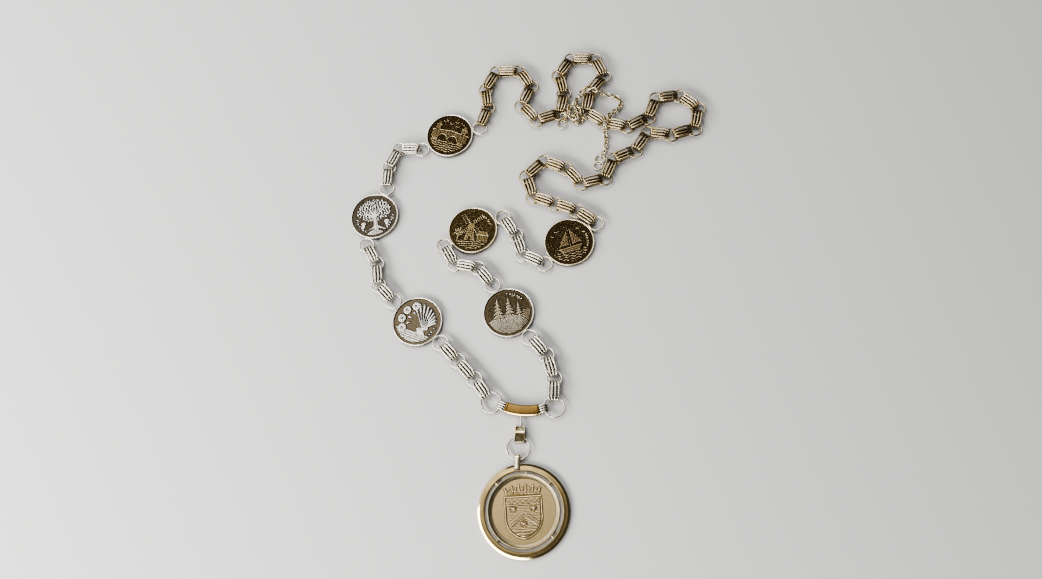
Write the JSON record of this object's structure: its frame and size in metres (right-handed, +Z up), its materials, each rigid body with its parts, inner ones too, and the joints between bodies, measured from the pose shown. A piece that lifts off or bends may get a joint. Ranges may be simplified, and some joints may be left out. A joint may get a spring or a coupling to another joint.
{
  "type": "mayoral chain of office",
  "caption": "Chain of office of wound-wire links and small rings, with round medals in wire-rimmed settings, a curved bar and a round pendant in a wide flat frame, laid out on a table.",
  "frame": {"origin": "middle of the pendant's back, on the table's surface", "axes": "+Z up from the table, +Y from the pendant towards the back of the chain, +X to the wearer's left as the chain is read from above"},
  "size_m": [0.2407, 0.341, 0.0089],
  "materials": {
    "silver_wire": "polished silver with warm tarnish in the grooves",
    "gold_bar": "satin gold, brushed along its length",
    "gold_pendant": "pale gold, brushed and lightly worn",
    "bronze_relief": "dark gilt bronze relief, bright on the high spots",
    "silver_relief": "oxidised silver relief, bright on the high spots"
  },
  "bodies": {
    "root": {"link_01": "silver_wire", "link_02": "silver_wire", "link_03": "silver_wire", "link_04": "silver_wire", "link_05": "silver_wire", "link_06": "silver_wire", "link_07": "silver_wire", "link_08": "silver_wire", "link_09": "silver_wire", "link_10": "silver_wire", "link_11": "silver_wire", "link_12": "silver_wire", "link_13": "silver_wire", "link_14": "silver_wire", "link_15": "silver_wire", "link_16": "silver_wire", "link_17": "silver_wire", "link_18": "silver_wire", "ring_01": "silver_wire", "ring_02": "silver_wire", "ring_03": "silver_wire", "ring_04": "silver_wire", "ring_05": "silver_wire", "ring_06": "silver_wire", "ring_07": "silver_wire", "ring_08": "silver_wire", "ring_09": "silver_wire", "ring_10": "silver_wire", "ring_11": "silver_wire", "ring_12": "silver_wire", "big_ring_1": "silver_wire", "big_ring_2": "silver_wire", "back_run_1": "silver_wire", "back_run_2": "silver_wire", "back_run_3": "silver_wire", "back_run_4": "silver_wire", "back_run_5": "silver_wire", "medal_1_bezel": "silver_wire", "medal_2_bezel": "silver_wire", "medal_3_bezel": "silver_wire", "medal_4_bezel": "silver_wire", "medal_5_bezel": "silver_wire", "medal_6_bezel": "silver_wire", "jump_ring": "silver_wire", "fine_chain": "silver_wire", "fine_chain_rings_1": "silver_wire", "fine_chain_rings_2": "silver_wire", "medal_1": "silver_relief", "medal_2": "silver_relief", "medal_6": "silver_relief", "medal_3": "bronze_relief", "medal_4": "bronze_relief", "medal_5": "bronze_relief", "bar": "gold_bar", "swivel": "gold_pendant", "bail": "gold_pendant", "pendant_frame": "gold_pendant", "pendant_disc": "gold_pendant"}
  },
  "joints": []
}
